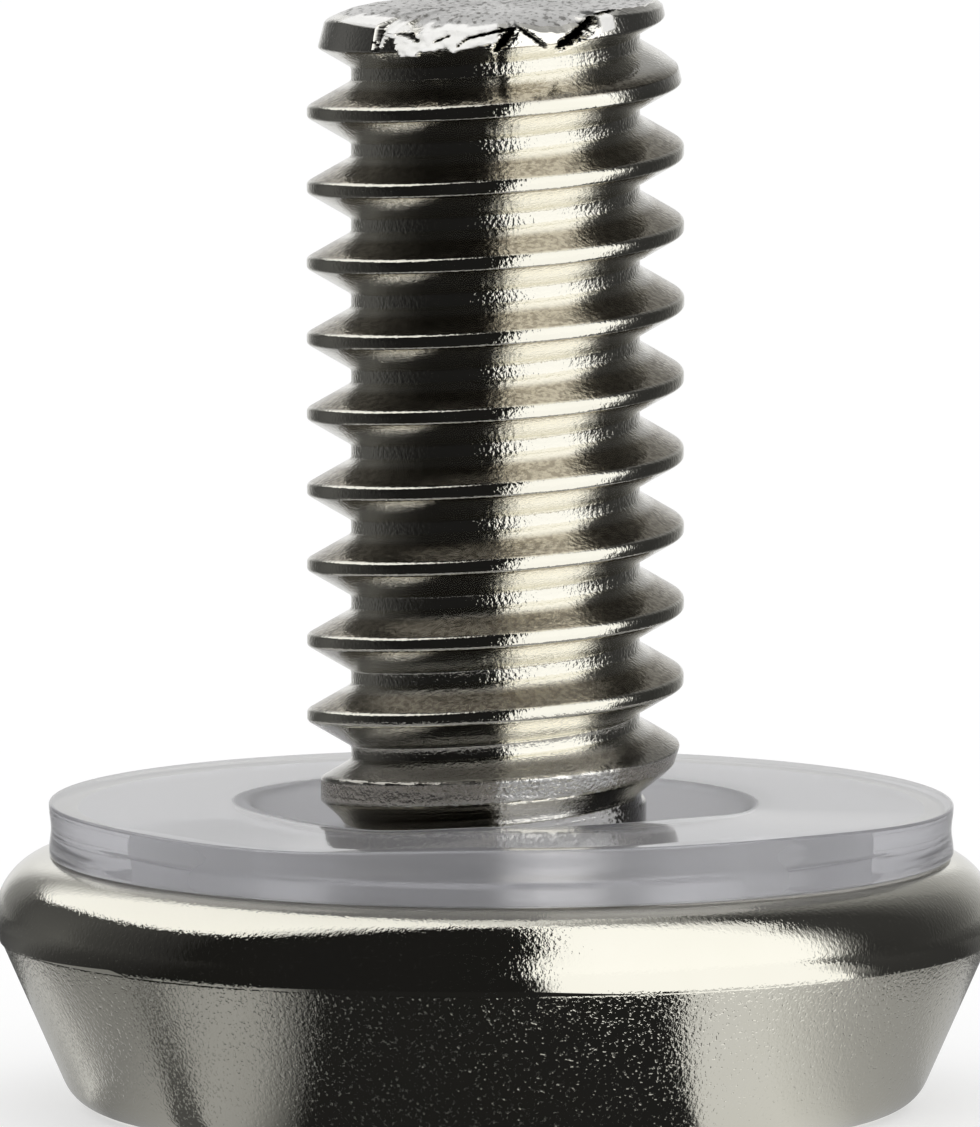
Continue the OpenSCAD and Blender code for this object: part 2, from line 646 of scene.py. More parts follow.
    def rough(self, graph: Graph, peel: bpy.types.NodeOutputs, masks: PlateMasks) -> bpy.types.NodeSocket:
        """Adds up the roughness of the regions.

        Args:
            graph: Graph of the material.
            peel: Results of the grain.
            masks: Regions of the plate.

        Returns:
            The roughness.
        """
        highest = self.roughness + self.cloud_roughness
        return graph.weighted(
            graph.range(peel["Cloud"], 0.3, 0.7, self.roughness, highest),
            (masks.torn, self.torn_roughness), (masks.flank, self.flank_roughness),
            (masks.upper, self.upper_roughness), (masks.band, self.band_roughness),
            (masks.end, self.bare_roughness),
        )

    def relief(
        self, at: Place, peel: bpy.types.NodeOutputs, masks: PlateMasks, screw: "Screw"
    ) -> bpy.types.NodeSocket:
        """Adds up the fine relief: orange peel, pits and flow lines.

        Args:
            at: Where the finish is.
            peel: Results of the grain.
            masks: Regions of the plate.
            screw: The screw.

        Returns:
            Heights in metres.
        """
        graph = at.graph
        share = graph.weighted(self.peel_share(at, screw), (masks.band, self.band_share))
        skin = graph.chain("MULTIPLY", peel["Height"], self.peel_height, share)
        drawn = graph.range(masks.neck, 0.0, 1.0, self.line_height, self.line_height * self.neck_lines)
        lines = self.flow_lines(at, screw.thread)
        return graph.weighted(skin, (masks.pits, -self.pit_depth), (lines, drawn))

    def upper_side(self, at: Place, screw: "Screw") -> bpy.types.NodeSocket:
        """Finds what faces up between roots and crests, fading at both ends of the thread. The finish makes
        it rougher and paints it darker as shade.

        Args:
            at: Where the finish is.
            screw: The screw.

        Returns:
            The mask.
        """
        thread = screw.thread
        first_turn = screw.tip.height - thread.pitch
        return at.graph.chain(
            "MULTIPLY",
            at.graph.range(at.up, 0.3, 0.6),
            at.rise(at.out, thread.flank_r + 0.06, thread.flank_r + 0.24),
            at.rise(at.z, first_turn, first_turn + 0.2, 1.0, 0.0),
            at.rise(at.z, thread.start_z + 0.3, thread.start_z + 0.9, 0.3, 1.0),
        )

    def peel_share(self, at: Place, screw: "Screw") -> bpy.types.NodeSocket:
        """Makes the orange peel weaker on the rolled rim and thread than on the cone and in the roots.

        Args:
            at: Where the finish is.
            screw: The screw.

        Returns:
            Strength of the peel.
        """
        graph, thread = at.graph, screw.thread
        ridge, crest, root = screw.head.ridge_z, thread.crest_r, thread.flank_r
        cone = at.rise(at.z, ridge, ridge + self.ridge_soft, 1.0, 0.0)
        rolled = at.rise(at.out, crest, crest * self.head_spread, self.thread_share, self.rim_share)
        deep = at.rise(at.out, root - 0.02, root + 0.04, self.root_share, 0.0)
        past_neck = at.rise(at.z, thread.start_z + 0.75, thread.start_z + 1.05)
        return graph.chain("MAXIMUM", cone, rolled, graph.math("MULTIPLY", deep, past_neck))

    def neck(self, at: Place, thread: "Thread") -> bpy.types.NodeSocket:
        """Finds the neck under the run-out of the thread.

        Args:
            at: Where the finish is.
            thread: The thread above the neck.

        Returns:
            The mask.
        """
        low = at.rise(at.z, thread.start_z - 0.05, thread.start_z + 0.1, 1.0, 0.0)
        inside = at.rise(at.out, thread.crest_r, thread.crest_r + 0.3, 1.0, 0.0)
        return at.graph.math("MULTIPLY", low, inside)

    def band(self, at: Place, thread: "Thread") -> bpy.types.NodeSocket:
        """Finds the rough band where the last crest runs out into the neck.

        Args:
            at: Where the finish is.
            thread: The thread.

        Returns:
            The mask.
        """
        graph = at.graph
        turn = graph.math("ADD", graph.math("ARCTAN2", at.y, at.x), math.pi / 2.0)
        climb = graph.math("MULTIPLY", turn, thread.pitch * MM / math.tau)
        level = graph.math("SUBTRACT", at.z, climb)
        low, high = thread.seat_z + thread.band_low, thread.seat_z + thread.band_high
        above = at.rise(level, low - 0.03, low + 0.05)
        below = at.rise(level, high - 0.02, high + 0.02, 1.0, 0.0)
        return graph.chain("MULTIPLY", above, below, at.rise(at.z, high, high + 0.2, 1.0, 0.0))

    def flanks(self, at: Place, thread: "Thread") -> bpy.types.NodeSocket:
        """Finds the thread's flanks, which are duller than its crests and roots.

        Args:
            at: Where the finish is.
            thread: The thread.

        Returns:
            The mask.
        """
        low, high, start = thread.flank_r, thread.crest_r, thread.start_z
        above_root = at.rise(at.out, low - 0.06, low + 0.06)
        below_crest = at.rise(at.out, high - 0.07, high - 0.02, 1.0, 0.0)
        return at.graph.chain("MULTIPLY", above_root, below_crest, at.rise(at.z, start - 0.3, start + 0.3))

    def flow_lines(self, at: Place, thread: "Thread") -> bpy.types.NodeSocket:
        """Draws fine lines that run along the thread.

        Args:
            at: Where the finish is.
            thread: The thread.

        Returns:
            Height of the lines, zero away from the thread.
        """
        graph = at.graph
        climb = graph.math("MULTIPLY", at.z, math.tau / (thread.pitch * MM))
        phase = graph.math("SUBTRACT", climb, graph.math("ARCTAN2", at.y, at.x))
        along = graph.add("ShaderNodeCombineXYZ", {
            0: graph.math("MULTIPLY", graph.math("COSINE", phase), self.line_turns),
            1: graph.math("MULTIPLY", graph.math("SINE", phase), self.line_turns),
            2: graph.math("MULTIPLY", at.z, self.line_stretch),
        })
        drawn = graph.add("ShaderNodeTexNoise", {"Vector": along.outputs[0], "Scale": 1.0, "Detail": 3.0})
        past_neck = at.rise(at.z, thread.start_z - 0.6, thread.start_z)
        inside = at.rise(at.out, thread.crest_r, thread.crest_r + 0.2, 1.0, 0.0)
        return graph.chain("MULTIPLY", past_neck, inside, drawn.outputs[0])

    def end_face(self, at: Place, tip: "Tip") -> bpy.types.NodeSocket:
        """Finds the sheared end face, which is duller than the rest.

        Args:
            at: Where the finish is.
            tip: End of the screw.

        Returns:
            The mask.
        """
        level = at.graph.range(at.up, 0.72, 0.92)
        high = at.rise(at.z, tip.height - 0.3, tip.height - 0.2)
        inside = at.rise(at.out, tip.face_r - 0.06, tip.face_r, 1.0, 0.0)
        return at.graph.chain("MULTIPLY", level, high, inside)


@dataclass(frozen=True)
class ClearPlastic:
    """Milky clear plastic with a slightly uneven moulded skin and a matt hole."""

    tint: Colour = (0.74, 0.74, 0.77, 1.0)
    haze: Colour = (0.67, 0.67, 0.70, 1.0)
    roughness: float = 0.03
    cloud_roughness: float = 0.02
    hole_roughness: float = 0.4
    hole_border: Pair = (0.15, 0.3)
    transmission: float = 0.7
    ior: float = 1.5
    skin_scale: float = 2500.0
    skin_height: float = 0.0000008

    def material(self, grain: bpy.types.NodeTree, hole_r: float) -> bpy.types.Material:
        """Builds the material.

        Args:
            grain: Shared node group of the grain.
            hole_r: Radius of the washer's hole, whose wall is matt.

        Returns:
            The finished material.
        """
        made, graph = blank_material("clear_plastic")
        at = Place(graph)
        settings = {"Vector": at.vector, "Scale": self.skin_scale}
        skin = graph.add("ShaderNodeGroup", settings, node_tree=grain).outputs
        highest = self.roughness + self.cloud_roughness
        rough = graph.range(skin["Cloud"], 0.3, 0.7, self.roughness, highest)
        matt, plain = self.hole_border
        wall = at.rise(at.out, hole_r + matt, hole_r + plain, self.hole_roughness, 0.0)
        height = graph.math("MULTIPLY", skin["Height"], self.skin_height)
        bump = graph.add("ShaderNodeBump", {"Height": height, "Strength": 1.0, "Distance": 1.0})
        shader = graph.add("ShaderNodeBsdfPrincipled", {
            "Base Color": graph.tint(skin["Cloud"], self.tint, self.haze),
            "Metallic": 0.0,
            "Roughness": graph.math("ADD", rough, wall),
            "IOR": self.ior,
            "Transmission Weight": self.transmission,
            "Normal": bump.outputs[0],
        })
        graph.add("ShaderNodeOutputMaterial", {"Surface": shader.outputs[0]})
        return made


@dataclass
class Head:
    """The wide head: drive face, cone, ridge, rolled rim and seat."""

    radius: float
    seat_z: float
    rim_h: float = 1.2
    rim_draw: float = 0.06
    rim_round: float = 0.9
    ledge: float = 0.025
    cone_angle: float = 24.0
    face_round: float = 0.63
    ridge_lift: tuple[Pair, ...] = (
        (-78.0, 0.0), (-63.0, 0.05), (-50.0, 0.1), (-46.5, 0.0), (-31.0, 0.0), (-28.5, 0.06),
        (-20.0, 0.09), (4.0, 0.11), (21.0, 0.015), (45.0, 0.02), (78.0, 0.0),
    )

    @property
    def ridge_z(self) -> float:
        """Height of the ridge between the cone and the rim."""
        return self.seat_z - self.rim_h

    @property
    def ridge_r(self) -> float:
        """Radius of the ridge."""
        return self.radius - self.rim_draw

    def face_corner(self) -> np.ndarray:
        """Rounds the corner between the drive face and the cone, and returns its outline."""
        slope = math.radians(self.cone_angle)
        cone_r = self.ridge_r - self.ledge
        offset = cone_r * math.cos(slope) - self.ridge_z * math.sin(slope)
        centre = (offset - self.face_round * (1.0 - math.sin(slope))) / math.cos(slope)
        return arc(centre, self.face_round, self.face_round, -90.0, -self.cone_angle, 10)

    def rim_radius(self, height: np.ndarray) -> np.ndarray:
        """Gives the radius of the rim's slow curve below its widest line.

        Args:
            height: Heights.

        Returns:
            Radii.
        """
        rise = self.rim_h - self.rim_round
        swell = (rise * rise + self.rim_draw * self.rim_draw) / 2.0 / self.rim_draw
        below = self.seat_z - self.rim_round - height
        return self.radius - swell + np.sqrt(swell * swell - below * below)

    def rows(self, angles: np.ndarray) -> np.ndarray:
        """Builds the head's skin from the drive face to the seat, with the uneven ridge.

        Args:
            angles: Angles of the columns.

        Returns:
            Grid of points.
        """
        places, lifts = np.array(self.ridge_lift).T
        ridge = self.ridge_z + np.interp(angles, places, lifts)
        corner = self.face_corner()
        climb = math.tan(math.radians(self.cone_angle))
        rim_foot = self.rim_radius(ridge)
        cone_edge = self.ridge_r - self.ledge + (ridge - self.ridge_z) * climb
        cone_top = np.minimum(cone_edge, rim_foot - self.ledge / 2.0)
        share = np.linspace(0.0, 1.0, 9)[1:, None]
        cone_r = corner[-1, 0] + (cone_top - corner[-1, 0]) * share
        cone_z = corner[-1, 1] + (ridge - corner[-1, 1]) * share
        middle = self.seat_z - self.rim_round
        lower_z = ridge + (middle - ridge) * np.linspace(0.0, 1.0, 9)[:, None]
        upper = arc(self.radius - self.rim_round, middle, self.rim_round, 0.0, 90.0, 20)[1:]
        flat = np.ones_like(angles)
        radius = np.vstack([corner[:, :1] * flat, cone_r, self.rim_radius(lower_z), upper[:, :1] * flat])
        height = np.vstack([corner[:, 1:] * flat, cone_z, lower_z, upper[:, 1:] * flat])
        return around(radius, angles, height)


@dataclass
class Recess:
    """The cross recess in the drive face."""

    span: float = 6.3
    foot_span: float = 3.0
    wing_w: float = 1.1
    core_d: float = 3.0
    core_foot_d: float = 2.0
    depth: float = 2.4
    point_angle: float = 59.0
    arc_steps: int = 5

    def outline(self, half_span: float, core_r: float, height: float) -> np.ndarray:
        """Draws the cross at one height.

        Args:
            half_span: Distance from the axis to a wing's tip.
            core_r: Radius of the round core between the wings.
            height: Height of the outline.

        Returns:
            Points around the cross, against the clock as seen from the tip.
        """
        half = self.wing_w / 2.0
        inset = math.degrees(math.asin(half / core_r))
        turns = np.radians(np.linspace(inset, 90.0 - inset, self.arc_steps + 1))
        core = np.column_stack([core_r * np.cos(turns), core_r * np.sin(turns)])
        quarter = np.vstack([[[half_span, -half], [half_span, half]], core])
        points = []
        for number in range(4):
            turn = math.radians(90.0 * number)
            spin = np.array([[math.cos(turn), math.sin(turn)], [-math.sin(turn), math.cos(turn)]])
            points.append(quarter @ spin)
        flat = np.vstack(points)
        return np.column_stack([flat, np.full(len(flat), height)])

    def add_to(self, skin: Skin, border: np.ndarray) -> None:
        """Adds the drive face around the recess, its walls and its foot.

        Args:
            skin: Skin of the screw.
            border: Points around the flat drive face, without the closing one.
        """
        mouth = self.outline(self.span / 2.0, self.core_d / 2.0, 0.0)
        foot = self.outline(self.foot_span / 2.0, self.core_foot_d / 2.0, self.depth)
        loops = [[Vector(p) for p in border], [Vector(p) for p in mouth]]
        skin.add_triangles(np.vstack([border, mouth]), geometry.tessellate_polygon(loops))
        closed = np.stack([foot, mouth])
        skin.add_grid(np.concatenate([closed, closed[:, :1]], axis=1))
        self.add_foot(skin, foot)

    def add_foot(self, skin: Skin, foot: np.ndarray) -> None:
        """Adds the flat feet of the wings and the drill point of the core.

        Args:
            skin: Skin of the screw.
            foot: Outline of the cross at its foot.
        """
        core_r = self.core_foot_d / 2.0
        apex = np.array([0.0, 0.0, self.depth + core_r / math.tan(math.radians(self.point_angle))])
        stride = len(foot) // 4
        for number in range(4):
            first = number * stride
            tip = foot[[first, first + 1]]
            ends = foot[[first + 2, first - 1]]
            turns = np.arctan2(ends[:, 1], ends[:, 0])
            sweep = (turns[1] - turns[0] + math.pi) % math.tau - math.pi
            angles = turns[0] + sweep * np.linspace(0.0, 1.0, self.arc_steps + 1)
            rounded = np.column_stack([
                core_r * np.cos(angles), core_r * np.sin(angles), np.full(len(angles), self.depth)
            ])
            start = skin.add_points(np.vstack([tip, rounded]))
            skin.faces.append(tuple(range(start, start + 2 + len(rounded))))
            between = np.vstack([rounded[::-1], foot[first + 2:first + stride]])
            fan = [(i, i + 1, len(between)) for i in range(len(between) - 1)]
            skin.add_triangles(np.vstack([between, apex]), fan)


@dataclass
class Tip:
    """The end of the screw: lead-in taper, bevel, torn first crest and sheared end face.

    Edge, lip and patches pair an angle with a depth below the tip's highest line. A crack runs from an
    angle and depth to another, and has a half width and a cut.
    """

    height: float
    lead_len: float = 1.3
    lead_draw: float = 0.3
    bevel: float = 0.1
    face_r: float = 2.22
    cup: float = 0.05
    grit: float = 0.024
    rows: int = 56
    reach: float = 0.78
    uneven: float = 0.025
    edge: tuple[Pair, ...] = (
        (-180.0, 0.1), (-110.0, 0.3), (-75.0, 0.25), (-59.0, 0.2), (-45.0, 0.22), (-38.0, 0.32),
        (-30.0, 0.31), (-16.0, 0.25), (-5.0, 0.23), (2.0, 0.175), (9.0, 0.19), (17.0, 0.27),
        (24.0, 0.28), (30.0, 0.18),
        (37.0, 0.07), (42.0, 0.02), (90.0, 0.02), (180.0, 0.1),
    )
    lip_r: float = 2.42
    lip_slope: float = 0.8
    relief: float = 0.06
    undercut: float = 0.05
    fray: float = 0.02
    lip: tuple[Pair, ...] = (
        (-43.0, 0.5), (-41.5, 0.53), (-39.5, 0.36), (-36.7, 0.38), (-34.5, 0.6), (-34.0, 0.635),
        (-27.8, 0.62), (-26.7, 0.55), (-20.2, 0.52), (-16.6, 0.466), (-14.1, 0.567), (-12.7, 0.51),
        (-4.0, 0.43), (0.7, 0.387),
    )
    cracks: tuple[tuple[float, float, float, float, float, float], ...] = (
        (-13.0, 0.46, -10.0, 0.35, 0.015, 0.08), (-10.0, 0.35, 5.5, 0.2, 0.02, 0.1),
        (0.5, 0.5, 6.0, 0.22, 0.04, 0.2), (7.0, 0.16, 17.5, 0.48, 0.025, 0.06),
        (24.0, 0.44, 36.0, 0.14, 0.07, 0.3), (37.0, 0.06, 48.0, 0.03, 0.02, 0.1),
        (-43.5, 0.2, -43.5, 0.54, 0.03, 0.08), (-36.0, 0.32, -29.0, 0.42, 0.03, 0.06),
        (-22.0, 0.42, -17.0, 0.33, 0.02, 0.05),
    )
    patches: tuple[tuple[float, float, float, float], ...] = (
        (-66.0, 0.24, -44.0, 0.26), (38.5, 0.31, 44.5, 0.26),
    )
    lip_soft: float = 0.8
    undercut_run: float = 4.0
    reach_soft: float = 0.15
    end_ring_count: int = 26

    def envelope(self, crest_r: float, height: np.ndarray) -> np.ndarray:
        """Gives the outside radius near the tip, before the groove is cut.

        Args:
            crest_r: Radius of the full crests.
            height: Heights.

        Returns:
            Radii.
        """
        heights = [self.height - self.lead_len, self.height - self.bevel, self.height]
        return np.interp(height, heights, [crest_r, crest_r - self.lead_draw, self.face_r])

    def edge_drop(self, angle: np.ndarray) -> np.ndarray:
        """Gives how far the end's uneven edge lies under the highest line of the tip.

        Args:
            angle: Angles.

        Returns:
            Depths.
        """
        flat = np.zeros_like(angle)
        wander = ripple(np.stack([angle * 0.14, flat + 5.0, flat], axis=-1))
        quick = ripple(np.stack([angle * 0.5, flat + 9.0, flat], axis=-1))
        return np.maximum(glide(angle, self.edge) + self.uneven * (wander + 0.5 * quick), 0.0)

    def lip_low(self, angle: np.ndarray) -> np.ndarray:
        """Gives the height of the torn lip's ragged lower border.

        Args:
            angle: Angles.

        Returns:
            Heights.
        """
        places, drops = np.array(self.lip).T
        flat = np.zeros_like(angle)
        ragged = self.fray * ripple(np.stack([angle * 0.6, flat, flat], axis=-1))
        return self.height - np.interp(angle, places, drops) + ragged

    def lip_share(self, angle: np.ndarray, height: np.ndarray) -> np.ndarray:
        """Finds the torn lip that hangs down from the end's edge.

        Args:
            angle: Angles.
            height: Heights.

        Returns:
            Values from 0 to 1.
        """
        start, end, soft = self.lip[0][0], self.lip[-1][0], self.lip_soft
        within = ease(angle, start - soft, start + soft) * ease(angle, end + soft, end - soft)
        low = self.lip_low(angle)
        return within * ease(height, low - 0.012, low + 0.012)

    def torn(self, angle: np.ndarray, height: np.ndarray) -> np.ndarray:
        """Finds the bright torn metal: the lip and the patches beside it.

        Args:
            angle: Angles.
            height: Heights.

        Returns:
            Values from 0 to 1.
        """
        torn = self.lip_share(angle, height)
        for first, first_drop, last, last_drop in self.patches:
            beside = ease(angle, first - 1.0, first + 1.0) * ease(angle, last + 1.0, last - 1.0)
            low = self.height - first_drop - (last_drop - first_drop) * (angle - first) / (last - first)
            torn = np.maximum(torn, beside * ease(height, low - 0.02, low + 0.02))
        return torn

    def tear(
        self, radius: np.ndarray, limit: np.ndarray, angle: np.ndarray, height: np.ndarray
    ) -> np.ndarray:
        """Tears the first crest at the front, and cracks it.

        Args:
            radius: Radii of the thread.
            limit: Radii before the groove is cut.
            angle: Angles.
            height: Heights.

        Returns:
            Radii with the torn crest.
        """
        depth = self.height - height
        near = ease(depth, self.reach, self.reach - self.reach_soft)
        start, end, soft = self.lip[0][0], self.lip[-1][0], self.lip_soft
        wave = ripple(np.stack([angle * 0.3, height * 11.0, np.zeros_like(angle)], axis=-1))
        share = self.lip_share(angle, height)
        behind = ease(angle, start - soft, start + soft) * ease(angle, end + self.undercut_run, end)
        behind = behind * near * (1.0 - share)
        hang = np.maximum(height - self.lip_low(angle), 0.0)
        flare = np.minimum(limit, self.lip_r - self.lip_slope * hang + self.relief * wave)
        made = radius + share * (flare - radius)
        made = made - behind * self.undercut
        for crack, shape in zip(self.cracks, self.crack_shapes(angle, height)):
            made = made - crack[-1] * shape
        return made

    def crack_shapes(self, angle: np.ndarray, height: np.ndarray) -> list[np.ndarray]:
        """Finds the cracks in the first crest.

        Args:
            angle: Angles.
            height: Heights.

        Returns:
            For each crack, values that are 1 along its middle and fade out beside it.
        """
        depth = self.height - height
        along = np.radians(angle) * self.lip_r
        wave = ripple(np.stack([angle * 0.7, height * 20.0, np.zeros_like(angle)], axis=-1))
        wave = wave + 0.6 * ripple(np.stack([angle * 1.7, height * 45.0, np.ones_like(angle)], axis=-1))
        shapes = []
        for first, first_depth, last, last_depth, width, _ in self.cracks:
            from_x, to_x = np.radians([first, last]) * self.lip_r
            run, drop = to_x - from_x, last_depth - first_depth
            place = ((along - from_x) * run + (depth - first_depth) * drop) / (run * run + drop * drop)
            place = np.clip(place, 0.0, 1.0)
            gap = np.hypot(along - from_x - run * place, depth - first_depth - drop * place)
            shapes.append(np.exp(-(((gap + 0.6 * width * wave) / width) ** 2)))
        return shapes

    def end_rows(self, edge: np.ndarray, angles: np.ndarray) -> np.ndarray:
        """Closes the end with a shallow, gritty cup.

        Args:
            edge: Radii of the end face's edge.
            angles: Angles of the columns.

        Returns:
            Grid of points from the edge to the middle.
        """
        rows = []
        for share in np.linspace(0.97, 0.0, self.end_ring_count):
            radius = edge * share
            points = around(radius, angles, self.height - self.edge_drop(angles) * share ** 5)
            rough = ripple(points * np.array([9.0, 16.0, 1.0])) + 0.6 * ripple(points * 24.0)
            drop = self.cup * (1.0 - share * share) + self.grit * (0.8 + 0.6 * rough) * (1.0 - share ** 6)
            points[..., 2] -= np.maximum(drop, 0.0)
            rows.append(points)
        return np.stack(rows)


@dataclass
class Thread:
    """The rolled thread and the neck that it runs out into."""

    crest_r: float
    seat_z: float
    pitch: float = 25.4 / 24.0
    crest_w: float = 0.155
    root_flat: float = 0.12
    root_round: float = 0.055
    flank_angle: float = 30.0
    gap: float = 0.88
    crest_gap: float = 1.7
    neck_r: float = 2.12
    shoulder_r: float = 2.45
    shoulder_low: float = 0.6
    shoulder_high: float = 1.15
    shoulder_top_r: float = 2.55
    neck_round: float = 0.45
    fade_turns: float = 0.34
    neck_row_count: int = 40
    neck_top: float = 1.4
    crest_round: float = 0.06
    flank_rows: int = 4
    root_rows: int = 4
    neck_h: float = 1.1
    band_low: float = 1.01
    band_high: float = 1.29
    climb_share: float = 1.4
    climb_skew: float = 0.2
    crest_wear: float = 0.006
    fade_lift: float = 1.1

    @property
    def start_z(self) -> float:
        """Height of the groove's middle on the +X side, where it starts to fade out."""
        return self.seat_z + self.gap

    @property
    def neck_z(self) -> float:
        """Height where the neck's rounding ends."""
        return self.seat_z + self.neck_round

    @property
    def rise(self) -> float:
        """Radius that a flank gains for each millimetre along the axis."""
        return 1.0 / math.tan(math.radians(self.flank_angle))

    @property
    def root_half(self) -> float:
        """Half of the height of the groove's bottom, up to where the flanks start."""
        return self.root_flat / 2.0 + self.root_round * math.cos(math.radians(self.flank_angle))

    @property
    def root_sag(self) -> float:
        """Depth of the groove's bottom below the start of the flanks."""
        return self.root_round * (1.0 - math.sin(math.radians(self.flank_angle)))

    @property
    def root_r(self) -> float:
        """Radius at the bottom of the groove."""
        flank_h = (self.pitch - self.crest_w) / 2.0 - self.root_half
        return self.crest_r - self.root_sag - flank_h * self.rise

    @property
    def flank_r(self) -> float:
        """Radius where the flanks start, above the groove's bottom."""
        return self.root_r + self.root_sag

    def phases(self) -> np.ndarray:
        """Spreads the rows of one pitch, close together at the crest and root and wider on the flanks.

        Returns:
            Distances from the groove's middle, from half a pitch below it.
        """
        half = self.pitch / 2.0
        edge = half - self.crest_w / 2.0
        soft = self.crest_round / self.rise
        side = [0.0] + list(np.linspace(self.root_flat / 2.0, self.root_half, self.root_rows))
        side += list(np.linspace(self.root_half, edge - soft, self.flank_rows)[1:])
        side += [edge - soft * 0.4, edge + soft * 0.2, edge + soft * 0.9]
        lower = [-s for s in reversed(side[1:])]
        return np.array([-half] + lower + side)

    def outside(self, tip: Tip, angle: np.ndarray, height: np.ndarray) -> np.ndarray:
        """Gives the radius of neck, crests and tip before the groove is cut.

        Args:
            tip: End of the screw.
            angle: Angles.
            height: Heights.

        Returns:
            Radii.
        """
        full_z = self.seat_z + self.crest_gap
        crest = np.interp(height, [self.seat_z + self.neck_h, full_z], [self.shoulder_r, self.crest_r])
        turn = np.radians(angle)
        climb = self.climb_share * np.sin(turn) - self.climb_skew * np.sin(2.0 * turn)
        climb = self.pitch / math.tau * climb
        stops = ((self.shoulder_low, self.neck_r), (self.shoulder_high, self.shoulder_top_r))
        under = glide(height - self.seat_z - climb, stops)
        under = under + ease(height - self.seat_z - climb, self.shoulder_high, self.crest_gap)
        return np.minimum(np.minimum(crest, under), tip.envelope(self.crest_r, height))

    def radius(self, tip: Tip, angle: np.ndarray, height: np.ndarray) -> np.ndarray:
        """Gives the radius of the threaded surface.

        Args:
            tip: End of the screw.
            angle: Angles.
            height: Heights.

        Returns:
            Radii.
        """
        outside = self.outside(tip, angle, height)
        turns = (angle - 90.0) / 360.0
        lowest = np.floor((height - self.start_z) / self.pitch - turns)
        surface = np.full_like(outside, np.inf)
        for step in (0.0, 1.0):
            turn = turns + lowest + step
            away = np.abs(height - self.start_z - self.pitch * turn)
            fade = np.clip(-turn / self.fade_turns, 0.0, 1.0)
            lift = fade * (self.crest_r - self.root_r) * self.fade_lift
            past_flat = np.clip(away - self.root_flat / 2.0, 0.0, self.root_half - self.root_flat / 2.0)
            bottom = self.root_r + self.root_round - np.sqrt(self.root_round ** 2 - past_flat ** 2)
            groove = bottom + np.maximum(away - self.root_half, 0.0) * self.rise
            surface = np.minimum(surface, groove + lift)
        wear = ripple(np.stack([angle * 0.05, height * 1.5, turns * 3.0], axis=-1))
        crest = outside + self.crest_wear * (wear - 1.0)
        cut = round_low(crest, surface, self.crest_round)
        return tip.tear(cut, outside, angle, height)

    def rows(self, tip: Tip, angles: np.ndarray) -> np.ndarray:
        """Builds the threaded surface in rows that follow the helix.

        Args:
            tip: End of the screw.
            angles: Angles of the columns.

        Returns:
            Grid of points from the neck to the tip.
        """
        phases = self.phases()
        count = int((tip.height - self.start_z) / self.pitch) + 4
        low = self.seat_z + self.neck_top
        grid = []
        for level in np.linspace(self.neck_z, low, self.neck_row_count):
            grid.append(np.full_like(angles, level))
        for number in range(-1, count):
            for phase in phases:
                climb = self.pitch * ((angles - 90.0) / 360.0 + number)
                grid.append(np.clip(self.start_z + climb + phase, low, tip.height - tip.reach))
        for share in np.linspace(0.0, 1.0, tip.rows)[1:]:
            grid.append(tip.height - tip.reach * (1.0 - share) - tip.edge_drop(angles) * share ** 3)
        heights = np.stack(grid)
        turned = np.broadcast_to(angles, heights.shape)
        return around(self.radius(tip, turned, heights), turned, heights)

    def neck_rows(self, angles: np.ndarray) -> np.ndarray:
        """Builds the rounding between the seat and the neck.

        Args:
            angles: Angles of the columns.

        Returns:
            Grid of points.
        """
        bend = arc(self.neck_r + self.neck_round, self.neck_z, self.neck_round, 270.0, 180.0, 10)
        return around(bend[:, :1], angles[None, :], bend[:, 1:])


@dataclass
class Screw:
    """Head, neck, thread and tip, which are one piece of plated steel."""

    head: Head
    recess: Recess
    thread: Thread
    tip: Tip
    front_half: float = 60.0
    front_step: float = 0.8
    back_step: float = 2.4
    torn_rag: float = 0.3

    def angles(self) -> np.ndarray:
        """Spreads the columns, closer together at the front than at the back.

        Returns:
            Angles from -180 to 180 degrees.
        """
        front = np.arange(-self.front_half, self.front_half, self.front_step)
        right = np.arange(self.front_half, 180.0, self.back_step)
        left = -right[1:][::-1]
        return np.concatenate([[-180.0], left, front, right, [180.0]])

    def build(self) -> bpy.types.Object:
        """Makes the screw's mesh.

        Returns:
            The object.
        """
        angles = self.angles()
        skin = Skin()
        head = self.head.rows(angles)
        thread = self.thread.rows(self.tip, angles)
        edge = np.hypot(thread[-1, :, 0], thread[-1, :, 1])
        end = self.tip.end_rows(edge, angles)
        skin.add_grid(np.concatenate([head, self.thread.neck_rows(angles), thread, end]))
        self.recess.add_to(skin, head[0, :-1])
        piece = skin.to_object("plated_screw")
        self.mark_torn(piece)
        return piece

    def mark_torn(self, piece: bpy.types.Object) -> None:
        """Marks the points for the finish: 1 on torn metal and -1 in the cracks, which the finish paints
        near black as shade.

        Args:
            piece: The screw's object.
        """
        x, y, z = np.array([v.co for v in piece.data.vertices]).T / MM
        angle, out = np.degrees(np.arctan2(x, -y)), np.hypot(x, y)
        face_r = self.tip.face_r
        rag = self.torn_rag * ripple(np.stack([x * 5.0, y * 5.0, np.zeros_like(x)], axis=-1))
        torn = self.tip.torn(angle, z) * ease(out + rag, face_r - 0.2, face_r - 0.1)
        cracks = ease(np.max(self.tip.crack_shapes(angle, z), axis=0), 0.3, 0.75)
        cracks = cracks * ease(out, face_r - 0.4, face_r - 0.2)
        torn = torn * (1.0 - cracks) - cracks
        piece.data.attributes.new(TORN, "FLOAT", "POINT").data.foreach_set("value", torn)

    def dress(self, piece: bpy.types.Object, finish: NickelPlate, grain: bpy.types.NodeTree) -> None:
        """Plates the screw and ties it to its solid.

        Args:
            piece: The screw's object.
            finish: Finish of the plate.
            grain: Shared node group of the grain.
        """
        piece.data.materials.append(finish.material(grain, self))
        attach(piece, BODY)
        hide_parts(Node.SCREW.value)


